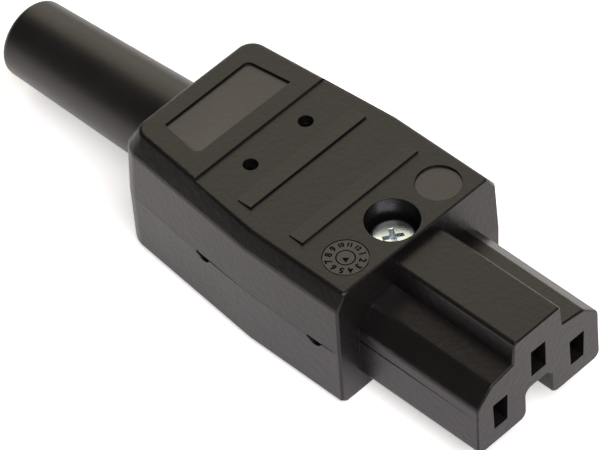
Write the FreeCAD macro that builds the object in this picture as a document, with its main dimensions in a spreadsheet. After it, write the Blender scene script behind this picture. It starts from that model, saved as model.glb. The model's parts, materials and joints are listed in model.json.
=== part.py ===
import FreeCAD, Part
import math
import os
import re

import Sketcher

# Driving dimensions in millimetres and degrees: name, value, what it measures.
# Lengths along the housing run back from its front face, which is at x = 0 before the part is centred.
SIZES = [
    ("body_length", 41.6, "housing, front face to rear face"),
    ("body_width", 29.6, "housing width at the parting plane"),
    ("rear_width", 24.8, "housing width at the rear face"),
    ("taper_start", 16.5, "distance behind the front face where the sides start to taper"),
    ("body_height", 20.0, "housing height"),
    ("seam_height", 9.6, "parting plane above the underside"),
    ("wall", 2.2, "wall of both shells"),
    ("draft_angle", 1.5, "draft of the outer walls"),
    ("lip_step", 0.1, "how far the base stands proud of the cover"),
    ("rear_corner", 3.8, "radius of the cover's two rear corners seen from above"),
    ("bevel_width", 1.65, "bevel round the top of the cover, across"),
    ("bevel_height", 2.65, "bevel round the top of the cover, down"),
    ("bottom_edge", 0.8, "chamfer of the base's side and rear edges"),
    ("front_edge", 0.3, "chamfer round the front face"),
    ("nose_length", 20.0, "nose, front face of the housing to the engagement face"),
    ("nose_width", 22.4, "nose width at the parting plane"),
    ("nose_drop", 4.9, "underside of the nose below the live and neutral line"),
    ("nose_corner", 1.2, "radius of the nose's lower long edges"),
    ("ridge_rise", 10.2, "top of the ridge above the live and neutral line"),
    ("ridge_width", 9.2, "width of the ridge at its foot"),
    ("ridge_lean", 0.4, "inward lean of each side of the ridge"),
    ("ridge_round", 0.6, "radius of the ridge's upper long edges"),
    ("shoulder_rise", 6.65, "shoulder beside the ridge above the live and neutral line"),
    ("shoulder_fall", 0.65, "fall of the shoulder from the ridge to its upper corner"),
    ("shoulder_width", 16.8, "width over the upper corners of the shoulders"),
    ("shoulder_foot", 3.5, "lower corner of the shoulder above the live and neutral line"),
    ("shoulder_round", 1.4, "radius of both corners of a shoulder"),
    ("nose_edge", 0.2, "chamfer round the engagement face"),
    ("face_wall", 2.0, "wall behind the engagement face"),
    ("key_width", 4.6, "width of the key groove under the nose"),
    ("key_depth", 4.75, "depth of the key groove"),
    ("key_round", 1.0, "radius of the upper corners of the key groove"),
    ("pin_drop", 1.6, "live and neutral line below the parting plane"),
    ("pin_pitch", 14.0, "live to neutral, centre to centre"),
    ("earth_offset", 4.0, "earth line above the live and neutral line"),
    ("pin_height", 4.0, "height of a flat inlet pin"),
    ("slot_width", 2.3, "width of a pin slot"),
    ("slot_height", 4.4, "height of a pin slot"),
    ("slot_step", 0.15, "how far the cover's part of a slot stands back on each side"),
    ("channel_width", 4.0, "width of a contact channel"),
    ("channel_gap", 0.3, "room round a contact at its mouth and its free edge"),
    ("strip", 0.6, "thickness of the contact strip"),
    ("root_gap", 2.0, "gap between the leaves at the fold"),
    ("grip_gap", 1.7, "gap between the leaves where they grip"),
    ("mouth_gap", 2.5, "gap between the leaves at the mouth"),
    ("grip_length", 5.0, "length of the gripping stretch"),
    ("mouth_length", 2.2, "length of the flared mouth"),
    ("fold_start", 1.2, "fold of the contact in front of the housing's front face"),
    ("fold_round", 0.5, "outer radius of the fold"),
    ("tail_width", 3.2, "width of the contact's tail in its channel"),
    ("spring_strip", 0.4, "thickness of the spring clip"),
    ("spring_length", 4.0, "length of the spring clip along the contact"),
    ("spring_gap", 0.02, "room between clip and leaf"),
    ("block_length", 7.0, "length of a terminal"),
    ("block_width", 5.0, "width of a terminal"),
    ("block_edge", 0.3, "chamfer of a terminal's upright edges"),
    ("seat_height", 4.4, "seat of the terminals above the underside"),
    ("seat_rim", 1.2, "height of the rim round a seat"),
    ("seat_wall", 1.0, "thickness of the rim round a seat"),
    ("seat_gap", 0.1, "room between a terminal and the rim of its seat"),
    ("wire_hole", 2.6, "diameter of a terminal's wire hole"),
    ("terminal_start", 2.6, "front of the live and neutral terminals behind the front face"),
    ("terminal_shift", 1.4, "live and neutral terminals outboard of their pins"),
    ("earth_start", 9.2, "front of the earth terminal behind the front face"),
    ("terminal_thread", 3.0, "diameter of a terminal screw"),
    ("terminal_head", 4.8, "head diameter of a terminal screw"),
    ("terminal_head_height", 1.8, "head height of a terminal screw"),
    ("terminal_screw_length", 4.0, "shank length of a terminal screw"),
    ("drive_slot", 0.8, "width of the slot in a terminal or clamp screw"),
    ("drive_depth", 0.8, "depth of that slot"),
    ("thread_gap", 0.05, "radial room round a screw in its thread"),
    ("screw_back", 4.49, "cover screw behind the front face"),
    ("screw_thread", 3.0, "diameter of the cover screw"),
    ("screw_point", 0.3, "chamfer at the end of the cover screw"),
    ("screw_hole_gap", 0.25, "radial room round the cover screw in the cover and the earth strip"),
    ("head_width", 6.0, "head diameter of the cover screw"),
    ("head_height", 2.2, "head height of the cover screw"),
    ("head_crown", 0.5, "height of the head's domed edge"),
    ("head_sink", 3.3, "top of the cover screw's head below the deck"),
    ("cross_length", 3.4, "length of the cross recess in the cover screw"),
    ("cross_width", 0.8, "width of an arm of the cross recess"),
    ("cross_depth", 1.2, "depth of the cross recess"),
    ("recess_width", 7.2, "diameter of the recess over the cover screw"),
    ("insert_width", 5.0, "diameter of the threaded insert"),
    ("insert_length", 6.0, "length of the threaded insert"),
    ("insert_gap", 0.02, "radial room round the threaded insert"),
    ("boss_wall", 1.5, "wall of the bosses round screws and insert"),
    ("screw_reach", 5.4, "end of the cover screw below the top of the insert"),
    ("clamp_back", 24.36, "cord clamp behind the front face"),
    ("clamp_pitch", 10.0, "centre distance of the clamp screws"),
    ("clamp_bar_length", 15.2, "length of the clamp bar across the housing"),
    ("clamp_bar_width", 6.0, "width of the clamp bar along the housing"),
    ("clamp_bar_height", 3.4, "height of the clamp bar at its ends"),
    ("clamp_bar_top", 2.2, "ends of the clamp bar below the parting plane"),
    ("clamp_round", 0.6, "radius of the clamp bar's edges"),
    ("clamp_thread", 2.4, "diameter of a clamp screw"),
    ("clamp_head", 4.4, "head diameter of a clamp screw"),
    ("clamp_head_height", 1.4, "head height of a clamp screw"),
    ("clamp_reach", 11.2, "shank length of a clamp screw"),
    ("clamp_hole_gap", 0.2, "radial room round a clamp screw in the bar"),
    ("clamp_boss_drop", 0.6, "lower end of the clamp bosses above the parting plane"),
    ("clamp_hole_cap", 1.9, "end of the clamp screw's thread below the top"),
    ("clamp_pin_hole", 2.0, "diameter of the two small holes in the top"),
    ("clamp_rib", 2.0, "thickness of the cover's clamping rib"),
    ("cord_bore", 8.0, "bore for the cord"),
    ("sleeve_length", 29.2, "sleeve outside the housing"),
    ("sleeve_width", 12.6, "sleeve diameter at the housing"),
    ("sleeve_tip", 10.9, "sleeve diameter at its free end"),
    ("sleeve_round", 1.0, "outer radius of the sleeve's free end"),
    ("sleeve_gap", 0.3, "radial room round the sleeve in the rear wall"),
    ("sleeve_droop", 3.0, "tilt of the sleeve under its own weight"),
    ("entry_drop", 0.5, "sleeve axis below the parting plane at the rear wall"),
    ("collar_width", 14.4, "diameter of the sleeve's inner collar"),
    ("collar_length", 3.0, "length of the sleeve's inner collar"),
    ("collar_gap", 0.5, "room in front of and behind the collar"),
    ("partition", 1.4, "thickness of the partition in front of the collar"),
    ("partition_bore", 10.0, "opening in that partition"),
    ("deck_start", 27.66, "step of the top behind the front face"),
    ("deck_step", 0.35, "height of that step and of the grip ridges"),
    ("first_ridge", 18.94, "first grip ridge behind the front face"),
    ("second_ridge", 9.89, "second grip ridge behind the front face"),
    ("ridge_run", 3.0, "length of a grip ridge's ramp"),
    ("ridge_span", 20.9, "width of a grip ridge across the top"),
    ("plate_front", 30.43, "front edge of the plate recess behind the front face"),
    ("plate_rear", 37.07, "rear edge of the plate recess behind the front face"),
    ("plate_front_width", 16.8, "plate recess width at its front edge"),
    ("plate_rear_width", 15.0, "plate recess width at its rear edge"),
    ("plate_depth", 0.35, "depth of the plate recess"),
    ("plate_round", 1.0, "radius of the two rounded corners of the plate recess"),
    ("disc_width", 6.0, "diameter of the marking discs"),
    ("disc_depth", 0.3, "depth of the marking discs"),
    ("disc_side", 8.43, "marking discs to the side of the cover screw"),
    ("pry_width", 2.6, "length of a pry notch in the rim of the base"),
    ("pry_depth", 0.85, "height of a pry notch"),
    ("pry_bite", 1.2, "how far a pry notch goes into the wall"),
    ("pry_front", 4.5, "front pry notch behind the front face"),
    ("pry_rear", 24.8, "rear pry notch behind the front face"),
]

# Places worked out from the driving dimensions.
DERIVED = {
    "sleeve_end": "(wall + sleeve_length) * cos(sleeve_droop)",
    "sleeve_edge": "(sleeve_tip / 2 - sleeve_round) * sin(sleeve_droop)",
    "front_x": "(rear_inner + sleeve_end + sleeve_edge - nose_length) / 2",
    "pin_line": "(seam_height - pin_drop)",
    "earth_line": "(pin_line + earth_offset)",
    "mouth_x": "(nose_length - face_wall - channel_gap)",
    "grip_end": "(mouth_x - mouth_length)",
    "grip_start": "(grip_end - grip_length)",
    "deck_height": "(body_height - deck_step)",
    "ceiling": "(body_height - wall)",
    "floor_root": "(wall / 2)",
    "roof_root": "(ceiling + wall / 8)",
    "pole_low": "(pin_line - pin_height / 2)",
    "pole_top": "(pin_line + pin_height / 2)",
    "pole_tail": "(pole_top - strip)",
    "earth_tail": "(earth_line - pin_height / 2 - strip)",
    "earth_top": "(earth_line + pin_height / 2)",
    "head_seat": "(deck_height - head_sink - head_height)",
    "insert_top": "(earth_tail)",
    "terminal_y": "(pin_pitch / 2 + terminal_shift)",
    "block_middle": "(terminal_start + block_length / 2)",
    "earth_middle": "(earth_start + block_length / 2)",
    "clamp_top": "(seam_height - clamp_bar_top)",
    "clamp_low": "(clamp_top - clamp_bar_height)",
    "sleeve_axis": "(seam_height - entry_drop)",
    "rear_inner": "(body_length - wall)",
    "collar_front": "(rear_inner - collar_gap - collar_length)",
    "partition_rear": "(collar_front - collar_gap)",
    "spring_middle": "((grip_start + grip_end) / 2)",
    "spring_inner": "(grip_gap / 2 + strip + spring_gap)",
    "side_slope": "((body_width - rear_width) / 2 / (body_length - taper_start))",
    "boss_low": "(earth_tail + strip + seat_gap)",
}

NAMES = {name for name, value, note in SIZES}

# How near an edge has to be to a place to be picked there.
SLACK = 0.01

# Flats that round the free end of the sleeve, over a quarter turn in degrees.
TIP_FLATS = 3
QUARTER = 90

doc = FreeCAD.newDocument("ApplianceConnector")


def expand(text):
    """Turn a formula in plain size names into one that refers to the sheet."""
    def refer(match):
        word = match.group()
        if word in DERIVED:
            return expand(DERIVED[word])
        return f"Sizes.{word}" if word in NAMES else word
    return re.sub(r"[a-z][a-z_]+", refer, str(text))


def bind(item, **formulas):
    for path, formula in formulas.items():
        item.setExpression(path.replace("__", "."), expand(formula))


def place(item, x=0, y=0, z=0):
    bind(item, Placement__Base__x=x, Placement__Base__y=y, Placement__Base__z=z)


def new_body(label, x="front_x", y=0, z=0):
    body = doc.addObject("PartDesign::Body", label)
    body.Label = label
    place(body, x, y, z)
    return body


def new_sketch(body, role, offset, label):
    sketch = body.newObject("Sketcher::SketchObject", label)
    plane = [item for item in body.Origin.OriginFeatures if item.Role == role][0]
    sketch.AttachmentSupport = [(plane, "")]
    sketch.MapMode = "FlatFace"
    bind(sketch, AttachmentOffset__Base__z=offset)
    return sketch


def draw_polygon(sketch, corners):
    """Draw a closed outline whose corners are held at formulas for their two coordinates."""
    count = len(corners)
    turn = 2 * math.pi / count
    start = [FreeCAD.Vector(math.cos(i * turn), math.sin(i * turn), 0) for i in range(count)]
    for i in range(count):
        sketch.addGeometry(Part.LineSegment(start[i], start[(i + 1) % count]), False)
    for i in range(count):
        sketch.addConstraint(Sketcher.Constraint("Coincident", i, 2, (i + 1) % count, 1))
    for i, (across, up) in enumerate(corners):
        for kind, value, formula in (("DistanceX", start[i].x, across), ("DistanceY", start[i].y, up)):
            index = sketch.addConstraint(Sketcher.Constraint(kind, -1, 1, i, 1, value))
            sketch.setExpression(f"Constraints[{index}]", expand(formula))


def mirrored(half):
    """Close an outline from the half on the positive side of its second or first axis."""
    return half + [(across, f"-({up})") for across, up in reversed(half)]


def extrude(body, kind, sketch, length, label, **settings):
    feature = body.newObject(f"PartDesign::{kind}", label)
    feature.Profile = sketch
    bind(feature, Length=length)
    for name, value in settings.items():
        setattr(feature, name, value)
    return feature


def box(body, kind, label, x, y, z):
    """Add or cut a box between two formulas on each axis."""
    feature = body.newObject(f"PartDesign::{kind}Box", label)
    length, width, height = [f"({high}) - ({low})" for low, high in (x, y, z)]
    bind(feature, Length=length, Width=width, Height=height)
    place(feature, x[0], y[0], z[0])
    return feature


def rod(body, kind, label, width, start, length, axis="z"):
    """Add or cut a cylinder that runs from start along an axis."""
    feature = body.newObject(f"PartDesign::{kind}Cylinder", label)
    turns = {"x": ((0, 1, 0), 90), "y": ((1, 0, 0), -90), "z": ((0, 0, 1), 0)}
    direction, angle = turns[axis]
    rotation = FreeCAD.Rotation(FreeCAD.Vector(*direction), angle)
    feature.Placement = FreeCAD.Placement(FreeCAD.Vector(), rotation)
    bind(feature, Radius=f"({width}) / 2", Height=length)
    place(feature, *start)
    return feature


def dress(body, kind, label, size, wanted):
    """Round or chamfer the edges of the body's last feature that a test picks."""
    doc.recompute()
    base = body.Tip
    picked = [f"Edge{i}" for i, edge in enumerate(base.Shape.Edges, 1) if wanted(edge)]
    feature = body.newObject(f"PartDesign::{kind}", label)
    feature.Base = (base, picked)
    bind(feature, **{"Radius" if kind == "Fillet" else "Size": size})
    return feature


def lean(body, label, level, side):
    """Draft the walls of the last feature above (side 1) or below a level where they keep their size."""
    doc.recompute()
    base = body.Tip
    faces = {f"Face{i}": face for i, face in enumerate(base.Shape.Faces, 1)}
    feature = body.newObject("PartDesign::Draft", label)
    feature.Base = (base, [name for name, face in faces.items() if abs(face.normalAt(0, 0).z) < SLACK])
    fixed = min(faces, key=lambda name: abs(faces[name].BoundBox.ZMin - level) + faces[name].BoundBox.ZLength)
    feature.NeutralPlane = (base, [fixed])
    feature.Reversed = side < 0
    bind(feature, Angle="draft_angle")
    return feature


def join(body, tool, label):
    feature = body.newObject("PartDesign::Boolean", label)
    feature.setObjects([tool])
    feature.Type = "Fuse"
    return feature


def number(name):
    return float(sheet.get(name))


def ends(edge, axis):
    return [getattr(vertex.Point, axis) for vertex in edge.Vertexes]


def reach(edge, axis):
    return max(ends(edge, axis)) - min(ends(edge, axis))


def lies_at(edge, axis, value):
    return all(abs(end - value) < SLACK for end in ends(edge, axis))


def lies_along(edge, y, z):
    """Whether an edge runs along the part at a height, at a distance to either side of the middle."""
    beside = all(abs(abs(end) - y) < SLACK for end in ends(edge, "y"))
    return beside and lies_at(edge, "z", z) and reach(edge, "x") > SLACK


# The sheet of sizes

sheet = doc.addObject("Spreadsheet::Sheet", "Sizes")
for row, (name, value, note) in enumerate(SIZES, 1):
    sheet.set(f"A{row}", name)
    sheet.set(f"B{row}", str(value))
    sheet.set(f"C{row}", note)
    sheet.setAlias(f"B{row}", name)
doc.recompute()


# The two moulded shells

def shell_outline(inset):
    """Seen from above, a housing that tapers towards the sleeve."""
    return [
        (f"-({inset})", f"-(body_width / 2 - {inset})"),
        (f"-({inset})", f"body_width / 2 - {inset}"),
        ("-taper_start", f"body_width / 2 - {inset}"),
        (f"-(body_length - {inset})", f"rear_width / 2 - {inset}"),
        (f"-(body_length - {inset})", f"-(rear_width / 2 - {inset})"),
        ("-taper_start", f"-(body_width / 2 - {inset})"),
    ]


def shell_block(body, inset, height, side):
    """Make half of the outer form, above (side 1) or below (side -1) the parting plane."""
    sketch = new_sketch(body, "XY_Plane", "seam_height", f"{body.Label}_outline")
    draw_polygon(sketch, shell_outline(inset))
    extrude(body, "Pad", sketch, height, f"{body.Label}_block", Reversed=side < 0)
    seam = number("seam_height")
    lean(body, f"{body.Label}_draft", seam, side)
    rear = -number("body_length")
    thick = number("wall")
    level = number("body_height") if side > 0 else 0

    def is_corner(edge):
        return max(ends(edge, "x")) < rear + thick and reach(edge, "z") > thick

    def is_rim(edge):
        return lies_at(edge, "z", level) and min(ends(edge, "x")) < -thick

    if side > 0:
        dress(body, "Fillet", f"{body.Label}_corners", "rear_corner", is_corner)
        bevel = dress(body, "Chamfer", f"{body.Label}_edges", "bevel_height", is_rim)
        bevel.ChamferType = "Two distances"
        bind(bevel, Size2="bevel_width")
    else:
        dress(body, "Fillet", f"{body.Label}_corners", "rear_corner + lip_step", is_corner)
        dress(body, "Chamfer", f"{body.Label}_edges", "bottom_edge", is_rim)
    doc.recompute()
    front = max(body.Tip.Shape.Faces, key=lambda face: face.CenterOfMass.x)
    dress(body, "Chamfer", f"{body.Label}_front_edges", "front_edge",
          lambda edge: any(edge.isSame(item) for item in front.Edges) and not lies_at(edge, "z", seam))


def hollow(body, depth, side):
    """Open the wiring chamber from the parting plane."""
    sketch = new_sketch(body, "XY_Plane", "seam_height", f"{body.Label}_chamber_outline")
    draw_polygon(sketch, shell_outline("wall"))
    extrude(body, "Pocket", sketch, depth, f"{body.Label}_chamber", Reversed=side > 0)


def sleeve_entry(body, z):
    """Partition in front of the sleeve's collar, and the openings for cord and sleeve."""
    box(body, "Additive", f"{body.Label}_partition", ("-partition_rear", "-partition_rear + partition"),
        ("-rear_width / 2 + wall / 2", "rear_width / 2 - wall / 2"), z)
    rod(body, "Subtractive", f"{body.Label}_cord_way", "partition_bore",
        ("-partition_rear - collar_gap", 0, "sleeve_axis"), "partition + 2 * collar_gap", "x")
    rod(body, "Subtractive", f"{body.Label}_collar_way", "collar_width + 2 * sleeve_gap",
        ("-rear_inner", 0, "sleeve_axis"), "rear_inner - partition_rear", "x")
    rod(body, "Subtractive", f"{body.Label}_sleeve_way", "sleeve_width + 2 * sleeve_gap",
        ("-body_length - wall", 0, "sleeve_axis"), "2 * wall + collar_gap", "x")


POLES = {
    "live": {"y": "-pin_pitch / 2", "line": "pin_line", "low": "pole_low", "high": "pole_top"},
    "neutral": {"y": "pin_pitch / 2", "line": "pin_line", "low": "pole_low", "high": "pole_top"},
    "earth": {"y": "0", "line": "earth_line", "low": "earth_tail", "high": "earth_top"},
}


def contact_ways(body, step):
    """Slots in the engagement face, and the channels and clip pockets behind them."""
    room = "(spring_strip + 2 * channel_gap)"
    half = "(spring_length / 2 + channel_gap)"
    for name, pole in POLES.items():
        y, line, low, high = pole["y"], pole["line"], pole["low"], pole["high"]
        across = (f"{y} - channel_width / 2", f"{y} + channel_width / 2")
        box(body, "Subtractive", f"{body.Label}_{name}_channel",
            ("-wall - channel_gap", "nose_length - face_wall"), across, (low, f"{high} + channel_gap"))
        box(body, "Subtractive", f"{body.Label}_{name}_slot",
            ("nose_length - 2 * face_wall", "nose_length + face_wall"),
            (f"{y} - slot_width / 2 - {step}", f"{y} + slot_width / 2 + {step}"),
            (f"{line} - slot_height / 2", f"{line} + slot_height / 2"))
        pocket = (line, f"{high} + {room}") if name == "earth" else (f"{low} - {room}", line)
        box(body, "Subtractive", f"{body.Label}_{name}_clip_pocket",
            (f"spring_middle - {half}", f"spring_middle + {half}"), across, pocket)


def make_cover_nose():
    """The ridge and shoulders of the nose, with the root that sinks into the cover."""
    body = new_body("cover_nose", 0)
    profile = new_sketch(body, "YZ_Plane", "-wall", "cover_nose_profile")
    half = [
        ("nose_width / 2 - lip_step", "seam_height"),
        ("nose_width / 2 - lip_step", "pin_line + shoulder_foot"),
        ("shoulder_width / 2", "pin_line + shoulder_rise - shoulder_fall"),
        ("ridge_width / 2", "pin_line + shoulder_rise"),
        ("ridge_width / 2 - ridge_lean", "pin_line + ridge_rise"),
    ]
    draw_polygon(profile, half + [(f"-({y})", z) for y, z in reversed(half)])
    extrude(body, "Pad", profile, "nose_length + wall", "cover_nose_block")
    seam = number("seam_height")
    line = seam - number("pin_drop")
    foot = (number("nose_width") / 2 - number("lip_step"), line + number("shoulder_foot"))
    shoulder = (number("shoulder_width") / 2, line + number("shoulder_rise") - number("shoulder_fall"))
    ridge = (number("ridge_width") / 2 - number("ridge_lean"), line + number("ridge_rise"))
    dress(body, "Fillet", "cover_shoulders", "shoulder_round",
          lambda edge: lies_along(edge, *shoulder) or lies_along(edge, *foot))
    dress(body, "Fillet", "cover_ridge_edges", "ridge_round", lambda edge: lies_along(edge, *ridge))
    front = number("nose_length")
    dress(body, "Chamfer", "cover_face_edges", "nose_edge",
          lambda edge: lies_at(edge, "x", front) and not lies_at(edge, "z", seam))
    return body


def make_cover():
    body = new_body("cover_shell")
    shell_block(body, "lip_step", "body_height - seam_height", 1)
    join(body, make_cover_nose(), "cover_with_nose")
    box(body, "Subtractive", "deck", ("-deck_start", "wall"), ("-body_width", "body_width"),
        ("deck_height", "body_height + wall"))
    for name in ("first_ridge", "second_ridge"):
        ramp = new_sketch(body, "XZ_Plane", 0, f"{name}_profile")
        draw_polygon(ramp, [
            (f"-{name} - ridge_run", "deck_height"),
            (f"-{name} - ridge_run", "deck_height - wall / 2"),
            (f"-{name}", "deck_height - wall / 2"),
            (f"-{name}", "body_height"),
        ])
        extrude(body, "Pad", ramp, "ridge_span", f"{name}_ramp", Midplane=True)
    plate = new_sketch(body, "XY_Plane", "body_height", "plate_outline")
    draw_polygon(plate, [("-plate_rear", "-plate_rear_width / 2"), ("-plate_front", "-plate_front_width / 2"),
                         ("-plate_front", "plate_front_width / 2"), ("-plate_rear", "plate_rear_width / 2")])
    extrude(body, "Pocket", plate, "plate_depth", "plate_recess")
    rounded = (
        (-number("plate_rear"), number("plate_rear_width") / 2),
        (-number("plate_front"), -number("plate_front_width") / 2),
    )
    dress(body, "Fillet", "plate_corners", "plate_round",
          lambda edge: any(lies_at(edge, "x", x) and lies_at(edge, "y", y) for x, y in rounded))
    for name, side in (("near", "-"), ("far", "")):
        rod(body, "Subtractive", f"{name}_disc", "disc_width",
            ("-screw_back", f"{side}disc_side", "deck_height - disc_depth"), "disc_depth + wall")

    hollow(body, "ceiling - seam_height", 1)
    contact_ways(body, "slot_step")
    rod(body, "Additive", "screw_boss", "recess_width + 2 * boss_wall",
        ("-screw_back", 0, "boss_low"), "roof_root - boss_low")
    box(body, "Additive", "clamp_rib", ("-clamp_back - clamp_rib / 2", "-clamp_back + clamp_rib / 2"),
        ("-clamp_pitch / 2", "clamp_pitch / 2"), ("seam_height + cord_bore / 4", "roof_root"))
    for name, side in (("near", "-"), ("far", "")):
        rod(body, "Additive", f"{name}_clamp_boss", "clamp_thread + 2 * boss_wall",
            ("-clamp_back", f"{side}clamp_pitch / 2", "seam_height + clamp_boss_drop"),
            "roof_root - seam_height - clamp_boss_drop")
    rod(body, "Subtractive", "clamp_saddle", "cord_bore",
        ("-clamp_back - clamp_head", 0, "seam_height"), "2 * clamp_head", "x")
    for name, side in (("near", "-"), ("far", "")):
        spot = ("-clamp_back", f"{side}clamp_pitch / 2")
        rod(body, "Subtractive", f"{name}_clamp_thread", "clamp_thread + 2 * thread_gap",
            (*spot, "seam_height - wall"), "body_height - clamp_hole_cap - seam_height + wall")
        rod(body, "Subtractive", f"{name}_clamp_hole", "clamp_pin_hole",
            (*spot, "seam_height"), "body_height + wall - seam_height")
    rod(body, "Subtractive", "screw_hole", "screw_thread + 2 * screw_hole_gap",
        ("-screw_back", 0, "seam_height - wall"), "body_height - seam_height + wall")
    rod(body, "Subtractive", "screw_recess", "recess_width",
        ("-screw_back", 0, "head_seat"), "body_height + wall - head_seat")
    sleeve_entry(body, ("seam_height", "roof_root"))
    return body


def make_base_nose():
    """The lower half of the nose with its key groove, and the root that sinks into the base."""
    body = new_body("base_nose", 0)
    profile = new_sketch(body, "YZ_Plane", "-wall", "base_nose_profile")
    draw_polygon(profile, [("nose_width / 2", "seam_height"), ("nose_width / 2", "pin_line - nose_drop"),
                           ("-nose_width / 2", "pin_line - nose_drop"), ("-nose_width / 2", "seam_height")])
    extrude(body, "Pad", profile, "nose_length + wall", "base_nose_block")
    front = number("nose_length")
    seam = number("seam_height")
    low = seam - number("pin_drop") - number("nose_drop")
    corner = (number("nose_width") / 2, low)
    key_corner = (number("key_width") / 2, low + number("key_depth"))
    dress(body, "Fillet", "base_nose_corners", "nose_corner", lambda edge: lies_along(edge, *corner))
    box(body, "Subtractive", "key_groove", ("0", "nose_length + wall"), ("-key_width / 2", "key_width / 2"),
        ("pin_line - nose_drop - wall", "pin_line - nose_drop + key_depth"))
    dress(body, "Fillet", "key_corners", "key_round", lambda edge: lies_along(edge, *key_corner))
    key_rim = (number("key_width") / 2, low)
    dress(body, "Fillet", "key_rims", "nose_corner", lambda edge: lies_along(edge, *key_rim))
    dress(body, "Chamfer", "base_face_edges", "nose_edge",
          lambda edge: lies_at(edge, "x", front) and not lies_at(edge, "z", seam))
    return body


def make_base():
    body = new_body("base_shell")
    shell_block(body, "0", "seam_height", -1)
    join(body, make_base_nose(), "base_with_nose")
    hollow(body, "seam_height - wall", -1)
    rod(body, "Additive", "insert_boss", "insert_width + 2 * boss_wall",
        ("-screw_back", 0, "floor_root"), "insert_top - floor_root")
    seats = (
        ("live", "-terminal_y", "terminal_start"),
        ("neutral", "terminal_y", "terminal_start"),
        ("earth", "0", "earth_start"),
    )
    for name, y, start in seats:
        rim = "(seat_gap + seat_wall)"
        box(body, "Additive", f"{name}_seat", (f"-{start} - block_length - {rim}", f"-{start} + {rim}"),
            (f"{y} - block_width / 2 - {rim}", f"{y} + block_width / 2 + {rim}"),
            ("floor_root", "seat_height + seat_rim"))
    for name, y, start in seats:
        box(body, "Subtractive", f"{name}_seat_pocket",
            (f"-{start} - block_length - seat_gap", f"-{start} + seat_gap"),
            (f"{y} - block_width / 2 - seat_gap", f"{y} + block_width / 2 + seat_gap"),
            ("seat_height", "seam_height + wall"))
    contact_ways(body, "0")
    rod(body, "Subtractive", "insert_hole", "insert_width + 2 * insert_gap",
        ("-screw_back", 0, "insert_top - insert_length"), "insert_length + wall")
    sleeve_entry(body, ("floor_root", "seam_height"))
    radius = "(pry_width * pry_width / 4 + pry_depth * pry_depth) / (2 * pry_depth)"
    notches = (("front", "pry_front", "body_width / 2"),
               ("rear", "pry_rear", "(body_width / 2 - side_slope * (pry_rear - taper_start))"))
    for name, back, edge in notches:
        for side, start in (("near", f"-({edge}) - pry_bite"), ("far", f"{edge} - pry_bite")):
            rod(body, "Subtractive", f"{side}_{name}_pry_notch", f"2 * ({radius})",
                (f"-{back}", start, f"seam_height - pry_depth + {radius}"), "2 * pry_bite", "y")
    return body


# Contacts, spring clips and terminals

def make_contact(label, pole, tail, tail_level):
    """A strip folded into two gripping leaves, with a flat tail that lies on its terminal."""
    body = new_body(label, "front_x", pole["y"], 0)
    plan = new_sketch(body, "XY_Plane", pole["low"], f"{label}_leaves")
    outside = [
        ("fold_start", "root_gap / 2 + strip"),
        ("grip_start", "grip_gap / 2 + strip"),
        ("grip_end", "grip_gap / 2 + strip"),
        ("mouth_x", "mouth_gap / 2 + strip"),
    ]
    inside = [
        ("mouth_x", "mouth_gap / 2"),
        ("grip_end", "grip_gap / 2"),
        ("grip_start", "grip_gap / 2"),
        ("fold_start + strip", "root_gap / 2"),
    ]
    draw_polygon(plan, mirrored(outside + inside))
    extrude(body, "Pad", plan, f"{pole['high']} - ({pole['low']})", f"{label}_fold")
    back = number("fold_start")
    thick = number("strip")
    dress(body, "Fillet", f"{label}_bend", "fold_round",
          lambda edge: lies_at(edge, "x", back) and reach(edge, "z") > thick)
    flat = new_sketch(body, "XY_Plane", tail_level, f"{label}_tail_outline")
    draw_polygon(flat, tail)
    extrude(body, "Pad", flat, "strip", f"{label}_tail")
    return body


def make_pole_contact(name, side):
    inner = "terminal_shift - block_width / 2"
    outside = "terminal_shift + block_width / 2"
    tail = [
        ("fold_start + strip", f"-({side}tail_width / 2)"),
        ("fold_start + strip", f"{side}tail_width / 2"),
        ("-terminal_start", f"{side}tail_width / 2"),
        ("-terminal_start", f"{side}({outside})"),
        ("-terminal_start - block_length", f"{side}({outside})"),
        ("-terminal_start - block_length", f"{side}({inner})"),
        ("-terminal_start", f"{side}({inner})"),
        ("-terminal_start", f"-({side}tail_width / 2)"),
    ]
    body = make_contact(f"{name}_contact", POLES[name], tail, "pole_tail")
    rod(body, "Subtractive", f"{name}_tail_hole", "terminal_thread + 2 * screw_hole_gap",
        ("-block_middle", f"{side}terminal_shift", "pole_tail - strip"), "3 * strip")
    return body


def make_earth_contact():
    ring = "(screw_thread / 2 + screw_hole_gap + boss_wall)"
    half = [
        ("fold_start + strip", "tail_width / 2"),
        ("-wall - seat_gap", "tail_width / 2"),
        ("-wall - seat_gap", ring),
        (f"-screw_back - {ring}", ring),
        (f"-screw_back - {ring}", "block_width / 2"),
        ("-earth_start - block_length", "block_width / 2"),
    ]
    body = make_contact("earth_contact", POLES["earth"], mirrored(half), "earth_tail")
    rod(body, "Subtractive", "earth_screw_hole", "screw_thread + 2 * screw_hole_gap",
        ("-screw_back", 0, "earth_tail - strip"), "3 * strip")
    rod(body, "Subtractive", "earth_tail_hole", "terminal_thread + 2 * screw_hole_gap",
        ("-earth_middle", 0, "earth_tail - strip"), "3 * strip")
    return body


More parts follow.
